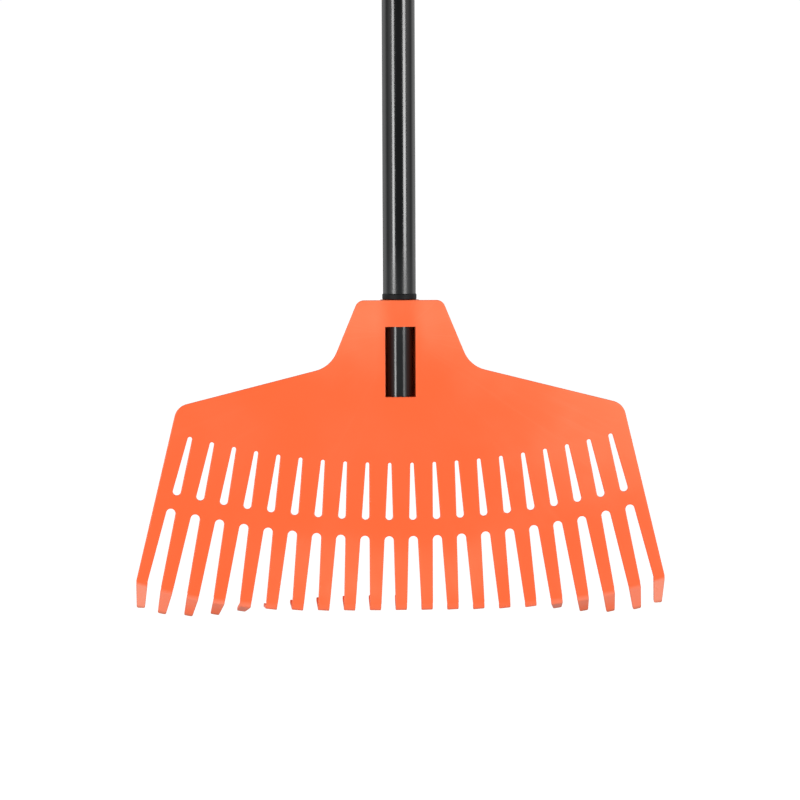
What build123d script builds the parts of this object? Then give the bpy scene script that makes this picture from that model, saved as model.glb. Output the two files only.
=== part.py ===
from build123d import *
from math import asin, cos, pi, radians, sin, sqrt, tan
import os

# Garden leaf rake: a one-piece plastic head with hooked tines on a round tubular handle.
# Millimetres. +Z runs up the handle, +X across the head, and the front of the head faces -Y.
# The origin is on the handle's axis, at the lower end of the handle tube.

# Handle tube
TUBE_LENGTH = 1200.0
TUBE_OUTER_R = 12.5
TUBE_WALL = 0.8
FIT_GAP = 0.05  # radial play between pieces that are pushed together
CUT_PAST = 1.0  # how far a cut, or a joined body, runs past the face it meets

# Spigot: the thinner tube that joins the handle to the head
SPIGOT_OUTER_R = 9.7
SPIGOT_WALL = 1.0
SPIGOT_TOP = 52.0  # above the tube's lower end
SPIGOT_BELOW_HEAD_TOP = 95.5

# Collar bush: reducing bush with the ring that shows between handle and head
COLLAR_R = 13.05
COLLAR_HEIGHT = 4.6
COLLAR_EDGE_R = 1.0
COLLAR_BODY_TOP = 48.0

# Head plate
HEAD_TOP = -COLLAR_HEIGHT - FIT_GAP  # height of the head's top edge
PLATE_THICKNESS = 2.8
PLATE_FRONT_Y = -TUBE_OUTER_R
PLATE_BACK_Y = PLATE_FRONT_Y + PLATE_THICKNESS
EDGE_ROUND = 0.7  # rounding of the plate's front edges

# Plate outline, x from the axis and z below the head's top edge, before its corners are rounded
NECK_TOP_X = 32.1
NECK_BASE = (52.9, -50.2)
SHOULDER = (169.3, -79.5)
SIDE_FOOT = (201.2, -213.4)
TOP_CORNER_R = 7.0
NECK_CORNER_R = 23.0
SHOULDER_CORNER_R = 12.5

# Window that shows the spigot
WINDOW_HALF_WIDTH = 11.55
WINDOW_TOP = -20.2
WINDOW_BOTTOM = -73.5

# Tines, numbered -10..10 from the centre one
TINES_EACH_SIDE = 10
BEND_CENTRE_Z = -230.0  # where the centre tine starts to bend
BEND_RISE = 18.8  # how much higher the outermost tines bend
BEND_RISE_POWER = 3.6
BEND_INNER_R = 3.0
BEND_ANGLE_CENTRE = 107.0  # degrees, at the centre tine
BEND_ANGLE_OUTER = 43.0  # degrees, at the outermost tines
BEND_ANGLE_POWER = 1.4
HOOK_LENGTH = 27.5  # from the corner of the bend to the tip
HOOK_TIP_WIDTH = 7.4
HOOK_TIP_NARROWING = 0.11  # per tine away from the centre
HOOK_STEP = 0.2  # a hook starts this much narrower than its tine
TIP_CORNER_R = 1.5  # rounding of a hook tip's two corners
HOOK_SPLAY = 0.63  # a hook runs outwards by this share of what its tine would over its length
LEAN_PER_TINE = 1.41  # degrees
OUTERMOST_HOOK_LEAN = 3.25  # degrees; the last hook on each side turns back towards the handle

# Open gaps between the tines, numbered by halves: 0.5, 1.5 ... on each side
GAP_TOP_Z = -179.1
GAP_TOP_ARC_R = 683.0
GAP_PITCH = 18.26
GAP_TOP_WIDTH = 7.0
GAP_TAPER = 0.074
GAP_TAPER_LOSS = 0.0009
GAP_END_Z = -250.0

# Closed slots above the gaps
SLOT_TOP_Z = -123.4
SLOT_TOP_ARC_R = 615.0
SLOT_BOTTOM_Z = -166.9
SLOT_BOTTOM_ARC_R = 630.0
SLOT_PITCH = 16.88
SLOT_CLOSING = 0.0014  # the slots move closer by the cube of their number
SLOT_LEAN = 1.5
SLOT_TOP_R = 1.25
SLOT_TOP_R_GAIN = 0.042
SLOT_BOTTOM_R = 2.72
SLOT_BOTTOM_R_GAIN = 0.03

# Ribs on the back of the plate
RIB_WIDTH = 2.2
RIB_HEIGHT = 4.0
RIM_INSET = 1.2
SLOT_RIB_Z = -117.0
BRIDGE_RIB_Z = -173.0
RIB_END_ABOVE_BEND = 11.0
FAN_CENTRE_Z = -45.0
FAN_ANGLES = (35.0, 55.0, 70.0)
FAN_LENGTH = 160.0

# Socket on the back of the neck
SOCKET_BORE_R = SPIGOT_OUTER_R + FIT_GAP
SOCKET_WALL = 3.05
SOCKET_OUTER_R = WINDOW_HALF_WIDTH + SOCKET_WALL
SOCKET_FLOOR_Z = -98.0
SOCKET_BOTTOM_Z = -101.0

# Spring pin across tube, bush and spigot, from side to side
PIN_Z = 26.0
PIN_R = 2.0
PIN_WALL = 0.7
PIN_SLIT = 0.8
PIN_HALF_LENGTH = TUBE_OUTER_R - 0.2

# Screw from the back of the socket into the spigot
SCREW_Z = HEAD_TOP - 84.0
SCREW_R = 2.0
SCREW_HEAD_R = 4.0
SCREW_HEAD_HEIGHT = 2.6
SCREW_SEAT_R = 4.8
SCREW_SEAT_Y = SOCKET_OUTER_R - 1.2
SCREW_TIP_Y = 2.0
SCREW_TIP_R = 0.4
RECESS_DEPTH = 1.3
RECESS_WIDTH = 0.9
HOLE_PLAY = 0.1

# Plug in the spigot's lower end
PLUG_DEPTH = 8.0
PLUG_WALL = 1.6

# Cap on the handle's top end, with an eye to hang the rake up by
CAP_PLUG_DEPTH = 24.0
CAP_FLANGE = 4.0
CAP_WEB = 2.0  # closing wall at the top of the cap's plug
EYE_THICKNESS = 9.0
EYE_WIDTH = 21.0
EYE_HOLE_R = 4.5
EYE_CENTRE_ABOVE = 17.0
EYE_FOOT = 2.0  # the eye starts this high above the tube's end, inside the flange
EYE_EDGE_R = 1.8


def rise(x, arc_r):
    """How far a circular arc of that radius has risen at x from its lowest point."""
    return arc_r - sqrt(arc_r**2 - x**2)


def down(lean):
    """Unit direction down a tine that leans outwards by that many degrees."""
    return Vector(sin(radians(lean)), -cos(radians(lean)))


def tapered_slot(top, lean, length, top_r, bottom_r):
    """Slot from a top point, with round ends of different radii joined by straight sides."""
    along = down(lean)
    across = Vector(-along.Y, along.X)
    upper = top + along * top_r
    lower = top + along * (length - bottom_r)
    slope = asin((bottom_r - top_r) / (lower - upper).length)
    side = across * cos(slope) - along * sin(slope)
    other = across * -cos(slope) - along * sin(slope)
    sides = [
        ThreePointArc(upper + side * top_r, top, upper + other * top_r),
        Line(upper + other * top_r, lower + other * bottom_r),
        ThreePointArc(lower + other * bottom_r, top + along * length, lower + side * bottom_r),
        Line(lower + side * bottom_r, upper + side * top_r),
    ]
    return make_face(sides)


def half_numbers():
    """The gaps' and slots' numbers, -9.5 to 9.5."""
    return [n + 0.5 for n in range(-TINES_EACH_SIDE, TINES_EACH_SIDE)]


def gap_top(j):
    x = GAP_PITCH * j
    return Vector(x, GAP_TOP_Z + rise(x, GAP_TOP_ARC_R))


def gap_width(j, depth):
    return GAP_TOP_WIDTH + (GAP_TAPER - GAP_TAPER_LOSS * abs(j)) * depth


def gap(j):
    top = gap_top(j)
    length = (top.Y - GAP_END_Z) / cos(radians(LEAN_PER_TINE * j))
    bottom_r = gap_width(j, length) / 2
    return tapered_slot(top, LEAN_PER_TINE * j, length + bottom_r, GAP_TOP_WIDTH / 2, bottom_r)


def gap_edge(j, z, towards):
    """X of a gap's edge at a height; towards is +1 for the edge at larger x."""
    lean = radians(LEAN_PER_TINE * j)
    top = gap_top(j)
    depth = (top.Y - z) / cos(lean)
    return top.X + depth * sin(lean) + towards * gap_width(j, depth) / 2 / cos(lean)


def slot_x(j):
    """X of a slot's top, or of the strip between two slots for a whole number."""
    return SLOT_PITCH * j - SLOT_CLOSING * j**3


def slot(j):
    x = slot_x(j)
    lean = SLOT_LEAN * j
    top = Vector(x, SLOT_TOP_Z + rise(x, SLOT_TOP_ARC_R))
    bottom_z = SLOT_BOTTOM_Z + rise(x, SLOT_BOTTOM_ARC_R)
    length = (top.Y - bottom_z) / cos(radians(lean))
    top_r = SLOT_TOP_R + SLOT_TOP_R_GAIN * abs(j)
    bottom_r = SLOT_BOTTOM_R + SLOT_BOTTOM_R_GAIN * abs(j)
    return tapered_slot(top, lean, length, top_r, bottom_r)


def side_x(z):
    """X of the plate's straight side at a height."""
    share = (z - SHOULDER[1]) / (SIDE_FOOT[1] - SHOULDER[1])
    return SHOULDER[0] + share * (SIDE_FOOT[0] - SHOULDER[0])


def tine_end(k):
    """Middle, width and lean of tine k where its bend starts."""
    z = BEND_CENTRE_Z + BEND_RISE * (abs(k) / TINES_EACH_SIDE) ** BEND_RISE_POWER
    low = gap_edge(k - 0.5, z, 1) if k > -TINES_EACH_SIDE else -side_x(z)
    high = gap_edge(k + 0.5, z, -1) if k < TINES_EACH_SIDE else side_x(z)
    lean = hook_lean(k)
    return Vector((low + high) / 2, z), (high - low) * cos(radians(lean)), lean


def is_outermost(k):
    return abs(k) == TINES_EACH_SIDE


def hook_lean(k):
    """Outward lean of tine k's hook, in degrees, negative for the tines at smaller x."""
    if is_outermost(k):
        return OUTERMOST_HOOK_LEAN * k / abs(k)
    return LEAN_PER_TINE * k


def hook_splay(k):
    """How far to larger x the tip of tine k's hook stands from the hook's own middle line."""
    if is_outermost(k):
        return 0.0
    share = HOOK_SPLAY - cos(radians(bend_angle(k)))
    return HOOK_LENGTH * share * tan(radians(hook_lean(k)))


def tines():
    return range(-TINES_EACH_SIDE, TINES_EACH_SIDE + 1)


def tine_foot(k):
    """The two ends of the line across tine k where its bend starts, larger x first."""
    middle, width, lean = tine_end(k)
    along = down(lean)
    across = Vector(-along.Y, along.X)
    # A little of each line runs into the gap beside it, where it is cut away.
    outer = width / 2 if k == TINES_EACH_SIDE else width / 2 + EDGE_ROUND
    inner = width / 2 if k == -TINES_EACH_SIDE else width / 2 + EDGE_ROUND
    return [middle + across * outer, middle - across * inner]


def rounded(face, corners, radius):
    """The face with the corners nearest to the given points, and their mirror images, rounded."""
    picked = []
    for x, z in corners:
        for place in (Vector(x, z), Vector(-x, z)):
            picked.append(min(face.vertices(), key=lambda v: (Vector(*v) - place).length))
    return fillet(picked, radius)


def shield(foot):
    """Head outline down to a foot, which is a list of points from larger x to smaller x."""
    right = [(NECK_TOP_X, 0), NECK_BASE, SHOULDER]
    left = [(-x, z) for x, z in reversed(right)]
    face = make_face(Polyline(*right, *foot, *left, close=True))
    face = rounded(face, [(NECK_TOP_X, 0)], TOP_CORNER_R)
    face = rounded(face, [NECK_BASE], NECK_CORNER_R)
    return rounded(face, [SHOULDER], SHOULDER_CORNER_R)


def window():
    height = WINDOW_TOP - WINDOW_BOTTOM
    return Pos(0, WINDOW_BOTTOM + height / 2) * Rectangle(2 * WINDOW_HALF_WIDTH, height)


def plate():
    """Flat plate with its slots, gaps and window, and its front edges rounded."""
    foot = [point for k in reversed(tines()) for point in tine_foot(k)]
    cuts = [slot(j) for j in half_numbers()] + [gap(j) for j in half_numbers()]
    sheet = Sketch() + shield(foot) - cuts - window()
    solid = extrude(Plane.XZ.offset(-PLATE_BACK_Y) * sheet, PLATE_THICKNESS)
    return fillet(soft_edges(solid.faces().sort_by(Axis.Y)[0]), EDGE_ROUND)


def soft_edges(front):
    """The front's edges, but for the window's and those where tines run on into their hooks."""
    window_middle = Vector(0, PLATE_FRONT_Y, (WINDOW_TOP + WINDOW_BOTTOM) / 2)
    window_reach = WINDOW_TOP - window_middle.Z + EDGE_ROUND
    sharp_places = [(window_middle, window_reach)]
    for k in tines():
        middle, _, _ = tine_end(k)
        sharp_places.append((Vector(middle.X, PLATE_FRONT_Y, middle.Y), EDGE_ROUND))
    return [
        edge for edge in front.edges()
        if all((edge.center() - place).length > reach for place, reach in sharp_places)
    ]


def bend_angle(k):
    """Bend of tine k, which falls smoothly from the centre tine to the outermost ones."""
    share = (1 - cos(pi * (abs(k) / TINES_EACH_SIDE) ** BEND_ANGLE_POWER)) / 2
    return BEND_ANGLE_CENTRE + (BEND_ANGLE_OUTER - BEND_ANGLE_CENTRE) * share


def hook_end(k, width, length):
    """Straight part of tine k's hook, pointing down, with its tip's corners and front edges rounded."""
    half_root, half_tip, shift = width / 2, hook_tip_width(k) / 2, hook_splay(k)
    outline = make_face(Polyline(
        (-half_root, 0), (half_root, 0), (shift + half_tip, -length), (shift - half_tip, -length), close=True,
    ))
    outline = fillet(outline.vertices().sort_by(Axis.Y)[:2], TIP_CORNER_R)
    end = extrude(Plane.XZ.offset(-PLATE_BACK_Y) * outline, PLATE_THICKNESS)
    front = end.faces().sort_by(Axis.Y)[0]
    return fillet([edge for edge in front.edges() if edge.center().Z < -EDGE_ROUND], EDGE_ROUND)


def hook_tip_width(k):
    return HOOK_TIP_WIDTH - HOOK_TIP_NARROWING * abs(k)


def hook(k):
    """Bend and straight end of tine k, which points backwards and narrows to its tip."""
    middle, width, lean = tine_end(k)
    angle = bend_angle(k)
    straight = HOOK_LENGTH - (BEND_INNER_R + PLATE_THICKNESS / 2) * tan(radians(angle) / 2)
    axis_y = PLATE_BACK_Y + BEND_INNER_R
    end = hook_end(k, width - HOOK_STEP, straight)
    root = end.faces().sort_by(Axis.Z)[-1]
    bend = revolve(root, Axis((0, axis_y, 0), (1, 0, 0)), angle)
    end = Pos(0, axis_y, 0) * Rot(angle, 0, 0) * Pos(0, -axis_y, 0) * end
    return Pos(middle.X, 0, middle.Y) * Rot(0, -lean, 0) * (bend + end)


def bar(start, end):
    """Rib's outline between two points."""
    length = (end - start).length
    turn = Vector(1, 0).get_signed_angle(end - start, Vector(0, 0, 1))
    middle = (start + end) / 2
    return Pos(middle.X, middle.Y) * Rot(0, 0, turn) * Rectangle(length, RIB_WIDTH)


def arc_band(centre_z, arc_r):
    """Outline of a curved rib from side to side."""
    reach = SIDE_FOOT[0]
    low, high = centre_z - RIB_WIDTH / 2, centre_z + RIB_WIDTH / 2
    lift = rise(reach, arc_r)
    return make_face([
        ThreePointArc((-reach, low + lift), (0, low), (reach, low + lift)),
        Line((reach, low + lift), (reach, high + lift)),
        ThreePointArc((reach, high + lift), (0, high), (-reach, high + lift)),
        Line((-reach, high + lift), (-reach, low + lift)),
    ])


def tine_ribs(k):
    """Rib down strip k between the slots, then down tine k to a little above its bend."""
    strip_x = slot_x(k)
    upper = Vector(strip_x, SLOT_RIB_Z + rise(strip_x, SLOT_TOP_ARC_R))
    bridge_x = GAP_PITCH * k
    bridge = Vector(bridge_x, BRIDGE_RIB_Z + rise(bridge_x, GAP_TOP_ARC_R))
    middle, _, _ = tine_end(k)
    way = (middle - bridge).normalized()
    return [bar(upper, bridge), bar(bridge, middle - way * RIB_END_ABOVE_BEND)]


def above_arc(centre_z, arc_r):
    """Everything above a curved rib's lower edge, up to the head's top."""
    reach = SIDE_FOOT[0]
    low = centre_z - RIB_WIDTH / 2
    lift = rise(reach, arc_r)
    return make_face([
        ThreePointArc((-reach, low + lift), (0, low), (reach, low + lift)),
        Line((reach, low + lift), (reach, 0)),
        Line((reach, 0), (-reach, 0)),
        Line((-reach, 0), (-reach, low + lift)),
    ])


def ribs():
    """Rim, fan, cross and tine ribs, all of one height, behind the plate."""
    body = shield([(side_x(BRIDGE_RIB_Z), BRIDGE_RIB_Z), (-side_x(BRIDGE_RIB_Z), BRIDGE_RIB_Z)])
    inside = offset(body, -RIM_INSET)
    top_area = inside & above_arc(SLOT_RIB_Z, SLOT_TOP_ARC_R)
    rim = top_area - offset(body, -RIM_INSET - RIB_WIDTH)
    fan_centre = Vector(0, FAN_CENTRE_Z)
    fan = bar(fan_centre, Vector(0, SLOT_RIB_Z))
    for angle in FAN_ANGLES:
        for side in (-angle, angle):
            fan += bar(fan_centre, fan_centre + down(side) * FAN_LENGTH)
    cross = arc_band(SLOT_RIB_Z, SLOT_TOP_ARC_R) + arc_band(BRIDGE_RIB_Z, GAP_TOP_ARC_R)
    net = rim + (fan & top_area) + (cross & inside_sides())
    for k in tines():
        net += tine_ribs(k)
    return extrude(Plane.XZ.offset(-PLATE_BACK_Y) * net, -RIB_HEIGHT)


def inside_sides():
    """Area between the plate's two straight sides, set in by the rim's distance."""
    top_z, foot_z = SHOULDER[1], SIDE_FOOT[1]
    corners = [(side_x(z) - RIM_INSET, z) for z in (top_z, foot_z)]
    mirrored = [(-x, z) for x, z in reversed(corners)]
    return make_face(Polyline(*corners, *mirrored, close=True))


def socket_block():
    """Half-round housing behind the neck, open at the top for the spigot."""
    height = -SOCKET_BOTTOM_Z
    round_part = Pos(0, 0, SOCKET_BOTTOM_Z) * extrude(Circle(SOCKET_OUTER_R), height)
    front = Box(2 * SOCKET_OUTER_R, -PLATE_BACK_Y, height, align=(Align.CENTER, Align.MAX, Align.MIN))
    reach = 3 * SOCKET_OUTER_R
    keep = Box(reach, reach, height, align=(Align.CENTER, Align.MIN, Align.MIN))
    block = round_part + Pos(0, 0, SOCKET_BOTTOM_Z) * front
    return block & Pos(0, PLATE_BACK_Y, SOCKET_BOTTOM_Z) * keep


def socket_hollows():
    """Spigot bore, and the wider channel behind the window."""
    bore = Pos(0, 0, SOCKET_FLOOR_Z) * extrude(Circle(SOCKET_BORE_R), CUT_PAST - SOCKET_FLOOR_Z)
    height = WINDOW_TOP - WINDOW_BOTTOM
    channel = extrude(Circle(WINDOW_HALF_WIDTH), height)
    depth = CUT_PAST - PLATE_FRONT_Y
    opening = Box(2 * WINDOW_HALF_WIDTH, depth, height, align=(Align.CENTER, Align.MAX, Align.MIN))
    return bore + Pos(0, 0, WINDOW_BOTTOM) * (channel + opening)


def screw_hole():
    """Spot-faced clearance hole for the head screw, from the back."""
    z = SCREW_Z - HEAD_TOP
    outside = SOCKET_OUTER_R + CUT_PAST
    hole = cylinder_y(SCREW_R + HOLE_PLAY, 0, outside, z)
    return hole + cylinder_y(SCREW_SEAT_R, SCREW_SEAT_Y, outside, z)


def cylinder_y(radius, y_from, y_to, z):
    """Round bar along Y, on the handle's centre plane."""
    return extrude(Plane((0, y_from, z), x_dir=(1, 0, 0), z_dir=(0, 1, 0)) * Circle(radius), y_to - y_from)


def cylinder_x(radius, x_from, x_to, z):
    """Round bar along X, through the handle's axis."""
    return extrude(Plane((x_from, 0, z), x_dir=(0, 1, 0), z_dir=(1, 0, 0)) * Circle(radius), x_to - x_from)


def tube(outer_r, inner_r, z_from, z_to):
    ring = Circle(outer_r) - Circle(inner_r)
    return Pos(0, 0, z_from) * extrude(ring, z_to - z_from)


def rake_head():
    head = plate() + ribs() + socket_block() - socket_hollows() - screw_hole()
    for k in tines():
        head += hook(k)
    return Pos(0, 0, HEAD_TOP) * head


def pin_hole():
    reach = TUBE_OUTER_R + CUT_PAST
    return cylinder_x(PIN_R + FIT_GAP, -reach, reach, PIN_Z)


def handle_tube():
    return tube(TUBE_OUTER_R, TUBE_OUTER_R - TUBE_WALL, 0, TUBE_LENGTH) - pin_hole()


def spigot_tube():
    bottom = HEAD_TOP - SPIGOT_BELOW_HEAD_TOP
    body = tube(SPIGOT_OUTER_R, SPIGOT_OUTER_R - SPIGOT_WALL, bottom, SPIGOT_TOP)
    return body - pin_hole() - cylinder_y(SCREW_R, 0, SPIGOT_OUTER_R + CUT_PAST, SCREW_Z)


def collar_bush():
    ring = tube(COLLAR_R, SPIGOT_OUTER_R + FIT_GAP, -COLLAR_HEIGHT, 0)
    rims = ring.edges().filter_by(GeomType.CIRCLE).sort_by(SortBy.RADIUS)[-2:]
    ring = fillet(rims, COLLAR_EDGE_R)
    inner = TUBE_OUTER_R - TUBE_WALL - FIT_GAP
    body = tube(inner, SPIGOT_OUTER_R + FIT_GAP, 0, COLLAR_BODY_TOP)
    return ring + body - pin_hole()


def cross_pin():
    """Slotted spring pin, a little short of the tube's outside at both ends."""
    face = Circle(PIN_R) - Circle(PIN_R - PIN_WALL) - Pos(PIN_R, 0) * Rectangle(2 * PIN_R, PIN_SLIT)
    plane = Plane((-PIN_HALF_LENGTH, 0, PIN_Z), x_dir=(0, 1, 0), z_dir=(1, 0, 0))
    return extrude(plane * face, 2 * PIN_HALF_LENGTH)


def head_screw():
    """Pan-head screw from the back of the socket into the spigot."""
    head = cylinder_y(SCREW_HEAD_R, SCREW_SEAT_Y + FIT_GAP, SCREW_SEAT_Y + SCREW_HEAD_HEIGHT, SCREW_Z)
    top = head.edges().filter_by(GeomType.CIRCLE).sort_by(Axis.Y)[-1]
    head = fillet(top, SCREW_HEAD_HEIGHT / 2)
    shank = cylinder_y(SCREW_R - FIT_GAP, SCREW_TIP_Y + SCREW_R, SCREW_SEAT_Y + CUT_PAST, SCREW_Z)
    tip_face = Plane((0, SCREW_TIP_Y, SCREW_Z), x_dir=(1, 0, 0), z_dir=(0, 1, 0))
    tip = loft([
        tip_face * Circle(SCREW_TIP_R),
        tip_face.offset(SCREW_R) * Circle(SCREW_R - FIT_GAP),
    ])
    recess_place = Pos(0, SCREW_SEAT_Y + SCREW_HEAD_HEIGHT, SCREW_Z)
    depth = 2 * RECESS_DEPTH  # half of it stands clear above the head
    recess = Box(2 * SCREW_R, depth, RECESS_WIDTH) + Box(RECESS_WIDTH, depth, 2 * SCREW_R)
    return head + shank + tip - recess_place * recess


def spigot_plug():
    """Plastic plug that closes the spigot's lower end."""
    bottom = HEAD_TOP + SOCKET_FLOOR_Z + FIT_GAP
    spigot_end = HEAD_TOP - SPIGOT_BELOW_HEAD_TOP - FIT_GAP
    flange = Pos(0, 0, bottom) * extrude(Circle(SPIGOT_OUTER_R), spigot_end - bottom)
    body_r = SPIGOT_OUTER_R - SPIGOT_WALL - FIT_GAP
    return flange + tube(body_r, body_r - PLUG_WALL, spigot_end, spigot_end + PLUG_DEPTH)


def end_cap():
    """Cap pressed into the handle's top end, with a flat eye to hang it by."""
    plug_r = TUBE_OUTER_R - TUBE_WALL - FIT_GAP
    plug = tube(plug_r, plug_r - PLUG_WALL, TUBE_LENGTH - CAP_PLUG_DEPTH, TUBE_LENGTH)
    flange = extrude(Circle(TUBE_OUTER_R), CAP_FLANGE)
    flange = Pos(0, 0, TUBE_LENGTH + FIT_GAP) * flange
    rim = flange.edges().filter_by(GeomType.CIRCLE).sort_by(Axis.Z)[-1]
    flange = fillet(rim, CAP_FLANGE / 2)
    flange += Pos(0, 0, TUBE_LENGTH - CAP_WEB) * extrude(Circle(plug_r), CAP_WEB + CUT_PAST)
    eye_face = Pos(0, EYE_CENTRE_ABOVE) * Circle(EYE_WIDTH / 2)
    foot_middle = (EYE_CENTRE_ABOVE + EYE_FOOT) / 2
    eye_face += Pos(0, foot_middle) * Rectangle(EYE_WIDTH, EYE_CENTRE_ABOVE - EYE_FOOT)
    eye = extrude(Plane.XZ.offset(-EYE_THICKNESS / 2) * eye_face, EYE_THICKNESS)
    near_face = EYE_THICKNESS / 2 - EYE_EDGE_R
    outer = [e for e in eye.edges() if abs(e.center().Y) > near_face and e.center().Z > CAP_FLANGE]
    eye = fillet(outer, EYE_EDGE_R)
    hole = cylinder_y(EYE_HOLE_R, -EYE_THICKNESS, EYE_THICKNESS, EYE_CENTRE_ABOVE)
    return plug + flange + Pos(0, 0, TUBE_LENGTH) * (eye - hole)


PIECES = {
    "rake_head": rake_head,
    "handle_tube": handle_tube,
    "spigot_tube": spigot_tube,
    "collar_bush": collar_bush,
    "cross_pin": cross_pin,
    "head_screw": head_screw,
    "spigot_plug": spigot_plug,
    "end_cap": end_cap,
}

os.makedirs("parts", exist_ok=True)
for name, build in PIECES.items():
    export_step(build(), f"parts/{name}.step")
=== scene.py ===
# Leaf rake: looks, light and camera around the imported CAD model. Metres, in the CAD's own frame.
from math import cos, pi, radians, sin

import bpy
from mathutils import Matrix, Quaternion, Vector

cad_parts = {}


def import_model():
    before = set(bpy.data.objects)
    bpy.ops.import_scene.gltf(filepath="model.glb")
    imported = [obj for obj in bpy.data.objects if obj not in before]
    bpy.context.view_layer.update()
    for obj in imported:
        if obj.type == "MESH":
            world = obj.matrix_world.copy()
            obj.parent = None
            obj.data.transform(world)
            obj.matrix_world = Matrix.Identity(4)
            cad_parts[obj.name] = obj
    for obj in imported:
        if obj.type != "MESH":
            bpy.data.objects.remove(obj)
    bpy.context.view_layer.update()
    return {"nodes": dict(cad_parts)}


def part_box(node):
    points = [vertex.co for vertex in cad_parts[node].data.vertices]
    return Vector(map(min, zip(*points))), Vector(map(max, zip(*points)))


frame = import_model()

MM = 0.001

# Colours, linear
ORANGE_DEEP = (0.900, 0.119, 0.0245, 1.0)
# Paler orange for the head's painted sheen, and for its cloudy tone and flow streaks
ORANGE_PALE = (0.900, 0.212, 0.088, 1.0)
# Paler orange for worn edges and for the painted pale sheen beyond the tines' bends
ORANGE_WORN_AND_SHEEN = (0.860, 0.300, 0.195, 1.0)
# Darker orange for the painted shade on the hook tips
TIP_SHADE_COLOUR = (0.430, 0.120, 0.052, 1.0)
BLACK_PAINT = (0.0035, 0.0042, 0.0045, 1.0)
BLACK_PAINT_DUSTY = (0.0080, 0.0090, 0.0095, 1.0)
SPIGOT_PAINT = (0.0150, 0.0165, 0.0175, 1.0)
SPIGOT_PAINT_DUSTY = (0.0230, 0.0245, 0.0255, 1.0)
BLACK_PLASTIC = (0.0040, 0.0040, 0.0044, 1.0)
BLACK_PLASTIC_WORN = (0.022, 0.022, 0.023, 1.0)
ZINC = (0.56, 0.57, 0.58, 1.0)
ZINC_STAINED = (0.42, 0.40, 0.34, 1.0)
STEEL = (0.30, 0.30, 0.31, 1.0)
STEEL_DARK = (0.10, 0.10, 0.105, 1.0)

# Head geometry the looks follow: tines bend at a height that rises towards the sides
BEND_CENTRE_Z = -234.65 * MM
BEND_RISE = 18.8 * MM
BEND_RISE_POWER = 3.6
HEAD_HALF_WIDTH = 201.2 * MM
PLATE_FRONT_Y = -12.5 * MM

# Where the head's painted sheen lies (paler orange standing in for light reflected there), in
# metres from the handle's axis and its lower end
SHEEN_SLANT = 0.5  # how much height counts beside sideways distance
SHEEN_FROM, SHEEN_TO = -0.06, 0.18
SHEEN_MOST = 0.74
SHEEN_LOW_Z, SHEEN_HIGH_Z = -0.22, -0.085
NECK_LOW_Z, NECK_HIGH_Z = -0.085, -0.012
NECK_MIDDLE, NECK_SIDE = 0.004, 0.020
NECK_MOST = 0.54
BAND_TOP_Z, BAND_FULL_Z, BAND_FADE_Z, BAND_END_Z = -0.165, -0.208, -0.222, -0.245
BAND_MIDDLE_X = -0.010
BAND_HALF_WIDTH, BAND_REACH = 0.05, 0.115
BAND_MOST = 0.36
GATE_BELOW = 0.030  # the moulding's gate is this far below the handle's lower end

# Hooks. Ramps are from and to which distance, and the share at each. The whitening is a painted
# pale sheen beyond the bends; the tip ramp paints shade on the hook tips.
OUTER_TINES = (0.080, 0.135, 0.05, 0.385)  # whitening, by distance from the handle's axis
LAST_TINES = (0.183, 0.196, 0.0, 0.32)
UNFADED_TINES = (0.155, 0.175)  # from here outwards the whitening doesn't fade towards the tip
BEND_SHEEN_FADE = (6.0 * MM, 27.0 * MM, 1.0, 0.25)  # by distance from the bend
TIP_SHADE_RAMP = (24.5 * MM, 29.5 * MM, 0.0, 0.70)
BEHIND_RIBS = (8.0 * MM, 12.0 * MM)
HOOKS_ONLY_Z = (-0.18, -0.20)  # everything below is tine or hook

EDGE_LOOK_R = 0.45 * MM  # radius that the head's edges are shown with
SMALL_EDGE_LOOK_R = 0.3 * MM
METAL_EDGE_LOOK_R = 0.2 * MM
PLASTIC_IOR = 1.49
PAINT_IOR = 1.5
COAT = 0.12
LOW_END_REACH = 40.0 * MM  # the handle is duller from here down to its lower end

# Studio light, as radiance beside the white backdrop's 1
BACKDROP = 1.02
FILL = 0.355
FILL_BELOW = 1.12
# What the tubes mirror, from straight in front of the rake (-1) to straight behind it (1)
MIRRORED = (
    (-1.0, 0.14), (-0.88, 0.16), (-0.50, 1.30), (-0.20, 0.75),
    (0.04, 0.33), (0.38, 1.40), (0.62, 1.15), (0.95, 0.45),
)
MIRRORED_TOP = 1.4
MIRRORED_BELOW = 0.45
STRIP_DISTANCE = 2.0
BACK_DISTANCE = 2.4
BACK_RADIANCE = 2.2

# Floor, in metres
FLOOR_LEVEL = -0.62
FLOOR_REACH = 40.0
FLOOR_CELLS = 4
FLOOR_GLOW = 0.74

# Camera, as the photographer stood: a little to the left and a little above the head
CAMERA_AZIMUTH = -3.06
CAMERA_ELEVATION = 2.16
CAMERA_DISTANCE = 3.0
CAMERA_ROLL = 0.25
FRAME_WIDTH = 0.6049  # seen at the head's distance
SENSOR = 36.0
HEAD_ABOVE_CENTRE = 0.0755  # the frame's centre is this far below the head's top edge
HEAD_BESIDE_CENTRE = -0.0002


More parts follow.
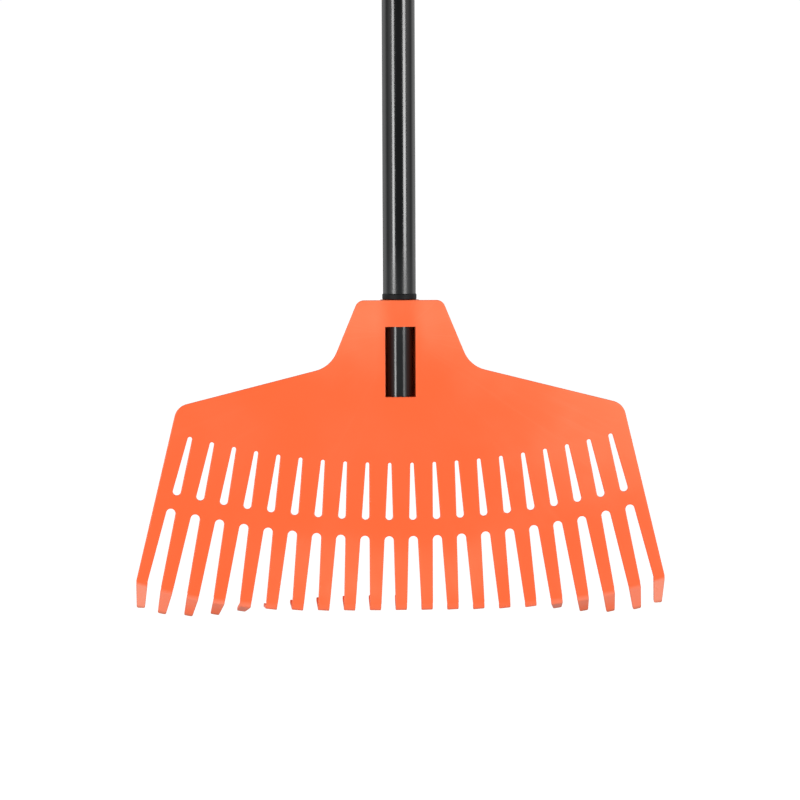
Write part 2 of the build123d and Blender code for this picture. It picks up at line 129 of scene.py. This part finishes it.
class Shader:
    """One material's node tree, with short calls for the nodes used here."""

    def __init__(self, name):
        self.material = bpy.data.materials.new(name)
        self.material.use_nodes = True
        self.tree = self.material.node_tree
        self.tree.nodes.clear()
        self.place = self.add("ShaderNodeTexCoord").outputs["Object"]
        self.surface = self.add("ShaderNodeBsdfPrincipled")
        output = self.add("ShaderNodeOutputMaterial")
        self.tree.links.new(self.surface.outputs["BSDF"], output.inputs["Surface"])

    def add(self, kind, **settings):
        node = self.tree.nodes.new(kind)
        for key, value in settings.items():
            setattr(node, key, value)
        return node

    def feed(self, socket, value):
        if isinstance(value, bpy.types.NodeSocket):
            self.tree.links.new(value, socket)
        else:
            socket.default_value = value

    def set(self, **values):
        """Principled inputs, with underscores for spaces."""
        for key, value in values.items():
            self.feed(self.surface.inputs[key.replace("_", " ")], value)

    def maths(self, operation, a, b=0.0, c=0.0):
        node = self.add("ShaderNodeMath", operation=operation)
        for socket, value in zip(node.inputs, (a, b, c)):
            self.feed(socket, value)
        return node.outputs[0]

    def smooth(self, value, low, high, to_low=0.0, to_high=1.0):
        """Smooth step from to_low to to_high as value goes from low to high."""
        node = self.add("ShaderNodeMapRange", interpolation_type="SMOOTHSTEP")
        for socket, number in zip(node.inputs, (value, low, high, to_low, to_high)):
            self.feed(socket, number)
        return node.outputs[0]

    def split(self, vector=None):
        node = self.add("ShaderNodeSeparateXYZ")
        self.feed(node.inputs[0], self.place if vector is None else vector)
        return node.outputs

    def join(self, x, y, z):
        node = self.add("ShaderNodeCombineXYZ")
        for socket, value in zip(node.inputs, (x, y, z)):
            self.feed(socket, value)
        return node.outputs[0]

    def stretched(self, scale):
        """The place, scaled by a different amount along each axis."""
        node = self.add("ShaderNodeVectorMath", operation="MULTIPLY")
        self.feed(node.inputs[0], self.place)
        node.inputs[1].default_value = scale
        return node.outputs[0]

    def noise(self, scale, detail=2.0, rough=0.5, vector=None, distortion=0.0):
        node = self.add("ShaderNodeTexNoise", noise_dimensions="3D")
        self.feed(node.inputs["Vector"], self.place if vector is None else vector)
        node.inputs["Scale"].default_value = scale
        node.inputs["Detail"].default_value = detail
        node.inputs["Roughness"].default_value = rough
        node.inputs["Distortion"].default_value = distortion
        return node.outputs["Fac"]

    def blend(self, share, a, b):
        """Colour a, going to b as share goes to 1."""
        node = self.add("ShaderNodeMix", data_type="RGBA")
        self.feed(node.inputs["Factor"], share)
        colours = [socket for socket in node.inputs if socket.type == "RGBA"]
        self.feed(colours[0], a)
        self.feed(colours[1], b)
        return [socket for socket in node.outputs if socket.type == "RGBA"][0]

    def edges(self, radius):
        """Normal with sharp edges rounded to a radius, and how near a point is to such an edge."""
        bevel = self.add("ShaderNodeBevel", samples=6)
        bevel.inputs["Radius"].default_value = radius
        normal = self.add("ShaderNodeNewGeometry").outputs["Normal"]
        dot = self.add("ShaderNodeVectorMath", operation="DOT_PRODUCT")
        self.feed(dot.inputs[0], bevel.outputs[0])
        self.feed(dot.inputs[1], normal)
        return bevel.outputs[0], self.smooth(dot.outputs["Value"], 0.995, 0.90)

    def bump(self, height, distance, strength=1.0, normal=None):
        node = self.add("ShaderNodeBump")
        node.inputs["Strength"].default_value = strength
        node.inputs["Distance"].default_value = distance
        self.feed(node.inputs["Height"], height)
        if normal is not None:
            self.feed(node.inputs["Normal"], normal)
        return node.outputs[0]


def head_plastic():
    """Glossy orange moulded plastic: flow marks, fine grain, painted sheen on the neck, right side
    and lower tines, a painted pale sheen beyond the bends and painted shade on the hook tips.
    """
    s = Shader("head_plastic")
    x, y, z = s.split()
    side = s.maths("ABSOLUTE", x)

    # Painted sheen: paler orange towards the upper right, at both sides of the neck, and across
    # the lower tines, standing in for light reflected there.
    slanted = s.maths("MULTIPLY_ADD", z, SHEEN_SLANT, x)
    towards_right = s.smooth(slanted, SHEEN_FROM, SHEEN_TO, 0.0, SHEEN_MOST)
    higher = s.smooth(z, SHEEN_LOW_Z, SHEEN_HIGH_Z, 0.10, 1.0)
    towards_right = s.maths("MULTIPLY", towards_right, higher)
    neck = s.smooth(z, NECK_LOW_Z, NECK_HIGH_Z)
    neck_middle = s.smooth(side, NECK_MIDDLE, NECK_SIDE, 0.22, 1.0)
    neck = s.maths("MULTIPLY", s.maths("MULTIPLY", neck, neck_middle), NECK_MOST)
    band_top = s.smooth(z, BAND_TOP_Z, BAND_FULL_Z)
    band_end = s.smooth(z, BAND_END_Z, BAND_FADE_Z, 0.4, 1.0)
    from_band_middle = s.maths("ABSOLUTE", s.maths("ADD", x, -BAND_MIDDLE_X))
    band_width = s.smooth(from_band_middle, BAND_REACH, BAND_HALF_WIDTH, 0.0, BAND_MOST)
    low_band = s.maths("MULTIPLY", s.maths("MULTIPLY", band_top, band_end), band_width)
    clouds = s.noise(14.0, 3.0, 0.55)
    cloud_share = s.smooth(clouds, 0.35, 0.70, -0.08, 0.10)

    # Flow streaks fan out from the gate under the window.
    gate_z = s.maths("ADD", z, GATE_BELOW)
    angle = s.maths("ARCTAN2", x, gate_z)
    reach = s.maths("SQRT", s.maths("MULTIPLY_ADD", x, x, s.maths("MULTIPLY", gate_z, gate_z)))
    fan = s.join(s.maths("MULTIPLY", angle, 22.0), s.maths("MULTIPLY", reach, 9.0), 0.0)
    streaks = s.noise(1.0, 3.0, 0.6, fan)
    streak_share = s.smooth(streaks, 0.50, 0.78, 0.0, 0.10)

    # The painted sheen, with the real cloudy tone and flow streaks added on top.
    sheen_and_tone = s.maths("ADD", s.maths("MAXIMUM", towards_right, neck), low_band)
    sheen_and_tone = s.maths("ADD", s.maths("ADD", sheen_and_tone, cloud_share), streak_share)
    colour = s.blend(s.smooth(sheen_and_tone, 0.0, 1.0), ORANGE_DEEP, ORANGE_PALE)

    # Painted pale sheen beyond the line where the tines bend, standing in for light reflected off
    # the hooks; stronger on the outer tines, mottled a little, and fading along the hook.
    rise = s.maths("POWER", s.maths("DIVIDE", side, HEAD_HALF_WIDTH), BEND_RISE_POWER)
    bend_z = s.maths("MULTIPLY_ADD", rise, BEND_RISE, BEND_CENTRE_Z)
    drop = s.maths("SUBTRACT", bend_z, z)
    beyond = s.smooth(drop, -0.5 * MM, 3.0 * MM)
    scuffs = s.noise(1.0, 4.0, 0.62, s.stretched((900.0, 900.0, 160.0)))
    bend_sheen = s.maths("MULTIPLY", beyond, s.smooth(scuffs, 0.25, 0.75, 0.80, 1.20))
    amount = s.maths("ADD", s.smooth(side, *OUTER_TINES), s.smooth(side, *LAST_TINES))
    bend_sheen = s.maths("MULTIPLY", bend_sheen, amount)
    back = s.maths("SUBTRACT", y, PLATE_FRONT_Y)
    along = s.maths("SQRT", s.maths("MULTIPLY_ADD", drop, drop, s.maths("MULTIPLY", back, back)))
    fade = s.maths("MAXIMUM", s.smooth(along, *BEND_SHEEN_FADE), s.smooth(side, *UNFADED_TINES))
    bend_sheen = s.maths("MULTIPLY", bend_sheen, fade)
    colour = s.blend(bend_sheen, colour, ORANGE_WORN_AND_SHEEN)

    # Painted shade on the hook tips, darker towards their ends where they turn away from the
    # light.
    hooks_only = s.smooth(z, *HOOKS_ONLY_Z)
    tip_shade = s.maths("MULTIPLY", s.smooth(along, *TIP_SHADE_RAMP), s.smooth(back, *BEHIND_RIBS))
    tip_shade = s.maths("MULTIPLY", tip_shade, hooks_only)
    colour = s.blend(tip_shade, colour, TIP_SHADE_COLOUR)

    normal, edge = s.edges(EDGE_LOOK_R)
    wear = s.maths("MULTIPLY", edge, s.smooth(s.noise(160.0, 3.0, 0.6), 0.45, 0.72, 0.0, 0.35))
    colour = s.blend(wear, colour, ORANGE_WORN_AND_SHEEN)

    grain = s.noise(2600.0, 2.0, 0.55)
    ripple = s.noise(26.0, 1.0, 0.4)
    scratches = s.noise(1.0, 2.0, 0.5, s.stretched((2400.0, 400.0, 110.0)))
    scratch_share = s.smooth(scratches, 0.60, 0.80, 0.0, 0.12)
    roughness = s.maths("ADD", s.smooth(clouds, 0.2, 0.8, 0.33, 0.43), scratch_share)
    roughness = s.maths("MULTIPLY_ADD", beyond, -0.08, roughness)
    # The hooks' upper faces are rubbed dull.
    facing = s.split(s.add("ShaderNodeNewGeometry").outputs["Normal"])
    dull = s.maths("MULTIPLY", s.smooth(facing[2], 0.0, 0.3), hooks_only)
    roughness = s.maths("MULTIPLY_ADD", dull, 0.35, roughness)
    coat = s.maths("MULTIPLY_ADD", dull, -COAT, COAT)
    specular = s.maths("MULTIPLY_ADD", dull, -0.40, 0.50)
    normal = s.bump(ripple, 1.2 * MM, 0.35, normal)
    normal = s.bump(grain, 0.04 * MM, 0.60, normal)
    normal = s.bump(scratches, 0.03 * MM, 0.35, normal)
    s.set(Base_Color=colour, Roughness=roughness, Normal=normal, IOR=PLASTIC_IOR)
    s.set(Specular_IOR_Level=specular, Coat_Weight=coat, Coat_Roughness=0.16)
    return s.material


def gloss_black(name, peel, clean, dusty, base_roughness, specular, low_end_from=None):
    """Sprayed black gloss on a drawn tube: orange peel, fine lengthwise rubbing, a little dust."""
    s = Shader(name)
    peel_height = s.noise(peel, 2.0, 0.45, s.stretched((1.0, 1.0, 0.45)))
    rubbing = s.noise(1.0, 3.0, 0.6, s.stretched((1500.0, 1500.0, 28.0)))
    dust = s.noise(3200.0, 1.0, 0.3)
    clouds = s.noise(34.0, 3.0, 0.6, s.stretched((1.0, 1.0, 0.35)))
    specks = s.smooth(dust, 0.68, 0.80, 0.0, 0.5)
    share = s.maths("ADD", s.smooth(clouds, 0.35, 0.75, 0.0, 0.55), specks)
    rough_clouds = s.smooth(clouds, 0.25, 0.75, base_roughness, base_roughness + 0.06)
    roughness = s.maths("ADD", rough_clouds, s.smooth(rubbing, 0.58, 0.80, 0.0, 0.10))
    # Lighter and duller towards the lower end.
    if low_end_from is not None:
        low = s.smooth(s.split()[2], low_end_from, 0.0)
        roughness = s.maths("MULTIPLY_ADD", low, 0.09, roughness)
        share = s.maths("MULTIPLY_ADD", low, 1.6, share)
    colour = s.blend(share, clean, dusty)
    normal, edge = s.edges(SMALL_EDGE_LOOK_R)
    colour = s.blend(s.maths("MULTIPLY", edge, 0.5), colour, dusty)
    normal = s.bump(peel_height, 0.05 * MM, 0.25, normal)
    normal = s.bump(rubbing, 0.006 * MM, 0.5, normal)
    s.set(Base_Color=colour, Roughness=roughness, Normal=normal)
    s.set(IOR=PAINT_IOR, Specular_IOR_Level=specular)
    return s.material


def black_plastic(name, grain_scale, base_roughness):
    """Black moulded plastic with an eroded grain and rubbed edges."""
    s = Shader(name)
    grain = s.noise(grain_scale, 3.0, 0.6)
    patches = s.noise(60.0, 3.0, 0.6)
    normal, edge = s.edges(SMALL_EDGE_LOOK_R)
    worn = s.maths("MULTIPLY", edge, s.smooth(patches, 0.35, 0.65, 0.15, 0.8))
    worn = s.maths("ADD", worn, s.smooth(patches, 0.5, 0.8, 0.0, 0.18))
    colour = s.blend(worn, BLACK_PLASTIC, BLACK_PLASTIC_WORN)
    roughness = s.smooth(patches, 0.2, 0.8, base_roughness - 0.05, base_roughness + 0.07)
    normal = s.bump(grain, 0.05 * MM, 0.45, normal)
    s.set(Base_Color=colour, Roughness=roughness, Normal=normal)
    s.set(IOR=PAINT_IOR, Specular_IOR_Level=0.18)
    return s.material


def metal(name, clean, stained, low_rough, high_rough):
    """Plated or blued metal with stains and fine turning marks."""
    s = Shader(name)
    stains = s.noise(420.0, 4.0, 0.65)
    marks = s.noise(1.0, 2.0, 0.5, s.stretched((300.0, 5000.0, 300.0)))
    normal, _ = s.edges(METAL_EDGE_LOOK_R)
    share = s.smooth(stains, 0.45, 0.70)
    colour = s.blend(share, clean, stained)
    roughness = s.smooth(stains, 0.3, 0.8, low_rough, high_rough)
    normal = s.bump(marks, 0.01 * MM, 0.6, normal)
    s.set(Base_Color=colour, Metallic=1.0, Roughness=roughness, Normal=normal)
    return s.material


HANDLE_PAINTS = (BLACK_PAINT, BLACK_PAINT_DUSTY)
SPIGOT_PAINTS = (SPIGOT_PAINT, SPIGOT_PAINT_DUSTY)
FINISHES = {
    "rake_head": head_plastic(),
    "handle_tube": gloss_black("handle_paint", 420.0, *HANDLE_PAINTS, 0.15, 0.50, LOW_END_REACH),
    "spigot_tube": gloss_black("spigot_paint", 700.0, *SPIGOT_PAINTS, 0.12, 0.32),
    "collar_bush": black_plastic("bush_plastic", 2200.0, 0.55),
    "cross_pin": metal("pin_steel", STEEL, STEEL_DARK, 0.30, 0.50),
    "head_screw": metal("screw_metal", ZINC, ZINC_STAINED, 0.22, 0.42),
    "spigot_plug": black_plastic("plug_plastic", 2600.0, 0.50),
    "end_cap": black_plastic("cap_plastic", 1800.0, 0.46),
}

for node, material in FINISHES.items():
    for slot in frame["nodes"][node].material_slots:
        slot.material = material


def floor():
    """Plain pale floor, far enough below the hanging rake that only a faint shadow reaches it."""
    step = 2 * FLOOR_REACH / FLOOR_CELLS
    row = FLOOR_CELLS + 1
    places = [-FLOOR_REACH + i * step for i in range(row)]
    corners = [(x, y, FLOOR_LEVEL) for y in places for x in places]
    faces = [
        (j * row + i, j * row + i + 1, (j + 1) * row + i + 1, (j + 1) * row + i)
        for j in range(FLOOR_CELLS) for i in range(FLOOR_CELLS)
    ]
    mesh = bpy.data.meshes.new("floor")
    mesh.from_pydata(corners, [], faces)
    ground = bpy.data.objects.new("floor", mesh)
    bpy.context.scene.collection.objects.link(ground)
    s = Shader("floor_pale")
    tone = s.smooth(s.noise(1.5, 2.0, 0.5), 0.3, 0.7, 0.80, 0.83)
    s.set(Base_Color=s.join(tone, tone, tone), Roughness=0.85)
    s.set(Emission_Color=(1, 1, 1, 1), Emission_Strength=FLOOR_GLOW)
    mesh.materials.append(s.material)
    ground.visible_diffuse = False
    ground.visible_glossy = False
    return ground


def world():
    """White to the camera, a softer white as light, and dark in front as a reflection."""
    studio = bpy.data.worlds.new("studio")
    studio.use_nodes = True
    tree = studio.node_tree
    tree.nodes.clear()
    add, link = tree.nodes.new, tree.links.new
    direction = add("ShaderNodeTexCoord").outputs["Generated"]
    parts = add("ShaderNodeSeparateXYZ")
    link(direction, parts.inputs[0])
    paths = add("ShaderNodeLightPath")

    def step(value, low, high, to_low, to_high, shape="SMOOTHSTEP"):
        node = add("ShaderNodeMapRange")
        node.interpolation_type = shape
        link(value, node.inputs[0])
        for socket, number in zip(list(node.inputs)[1:5], (low, high, to_low, to_high)):
            socket.default_value = number
        return node.outputs[0]

    # How far behind the rake a direction points, where pointing down counts for half
    below = add("ShaderNodeMath")
    below.operation = "MINIMUM"
    link(parts.outputs[2], below.inputs[0])
    below.inputs[1].default_value = 0.0
    behind = add("ShaderNodeMath")
    behind.operation = "MULTIPLY_ADD"
    link(below.outputs[0], behind.inputs[0])
    behind.inputs[1].default_value = -0.5
    link(parts.outputs[1], behind.inputs[2])
    ramp = add("ShaderNodeValToRGB")
    link(step(behind.outputs[0], -1.0, 1.0, 0.0, 1.0, "LINEAR"), ramp.inputs[0])
    stops = ramp.color_ramp.elements
    while len(stops) < len(MIRRORED):
        stops.new(0.5)
    for stop, (behind_by, level) in zip(stops, MIRRORED):
        stop.position = (behind_by + 1) / 2
        stop.color = (level / MIRRORED_TOP,) * 3 + (1,)
    mirrored = add("ShaderNodeMath")
    mirrored.operation = "MULTIPLY"
    link(ramp.outputs[0], mirrored.inputs[0])
    lower_dimmed = step(parts.outputs[2], -0.7, 0.0, MIRRORED_TOP * MIRRORED_BELOW, MIRRORED_TOP)
    link(lower_dimmed, mirrored.inputs[1])
    soft = step(parts.outputs[2], -0.95, 0.1, FILL_BELOW, FILL)
    glossy = add("ShaderNodeMix")
    link(paths.outputs["Is Glossy Ray"], glossy.inputs[0])
    link(soft, glossy.inputs[2])
    link(mirrored.outputs[0], glossy.inputs[3])
    seen = add("ShaderNodeMix")
    link(paths.outputs["Is Camera Ray"], seen.inputs[0])
    link(glossy.outputs[0], seen.inputs[2])
    seen.inputs[3].default_value = BACKDROP
    background = add("ShaderNodeBackground")
    background.inputs["Color"].default_value = (1, 1, 1, 1)
    link(seen.outputs[0], background.inputs["Strength"])
    output = add("ShaderNodeOutputWorld")
    link(background.outputs[0], output.inputs[0])
    bpy.context.scene.world = studio


def softbox(name, azimuth, elevation, distance, width, height, radiance, target, mirrored=True):
    """Rectangular soft light aimed at a point. Azimuth 0 is in front, 90 at the rake's right."""
    a, e = radians(azimuth), radians(elevation)
    away = Vector((sin(a) * cos(e), -cos(a) * cos(e), sin(e)))
    lamp = bpy.data.lights.new(name, "AREA")
    lamp.shape = "RECTANGLE"
    lamp.size, lamp.size_y = width, height
    lamp.energy = radiance * pi * width * height
    box = bpy.data.objects.new(name, lamp)
    box.location = Vector(target) + away * distance
    box.rotation_mode = "QUATERNION"
    box.rotation_quaternion = (-away).to_track_quat("-Z", "Y")
    box.visible_camera = False
    box.visible_glossy = mirrored
    bpy.context.scene.collection.objects.link(box)


def softboxes():
    """Tall lights in front that draw the tubes' two bright lines, and wide ones for the back."""
    softbox("strip_left", -41.5, 0.0, STRIP_DISTANCE, 0.50, 0.80, 15.0, (0, 0, 0.0))
    softbox("strip_right_high", 37.5, 0.0, STRIP_DISTANCE, 0.62, 0.50, 15.5, (0, 0, 0.20))
    softbox("strip_right_low", 37.5, 0.0, STRIP_DISTANCE, 0.66, 0.42, 4.2, (0, 0, -0.26))
    back = (15.0, BACK_DISTANCE, 1.6, 2.0, BACK_RADIANCE, (0, 0, 0), False)
    softbox("back_left", -140.0, *back)
    softbox("back_right", 140.0, *back)


def camera():
    lens = bpy.data.cameras.new("camera")
    lens.sensor_width = SENSOR
    lens.lens = SENSOR * CAMERA_DISTANCE / FRAME_WIDTH
    lens.shift_x = HEAD_BESIDE_CENTRE / FRAME_WIDTH
    lens.shift_y = -HEAD_ABOVE_CENTRE / FRAME_WIDTH
    lens.clip_start, lens.clip_end = 0.1, 200.0
    low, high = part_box("rake_head")
    target = Vector((0, low.y, high.z))
    a, e = radians(CAMERA_AZIMUTH), radians(CAMERA_ELEVATION)
    away = Vector((sin(a) * cos(e), -cos(a) * cos(e), sin(e)))
    eye = bpy.data.objects.new("camera", lens)
    eye.location = target + away * CAMERA_DISTANCE
    eye.rotation_mode = "QUATERNION"
    turn = Quaternion(away, radians(-CAMERA_ROLL))
    eye.rotation_quaternion = turn @ (-away).to_track_quat("-Z", "Y")
    bpy.context.scene.collection.objects.link(eye)
    bpy.context.scene.camera = eye


world()
softboxes()
camera()
floor()
bpy.context.scene.view_settings.view_transform = "Standard"
bpy.context.scene.view_settings.look = "None"
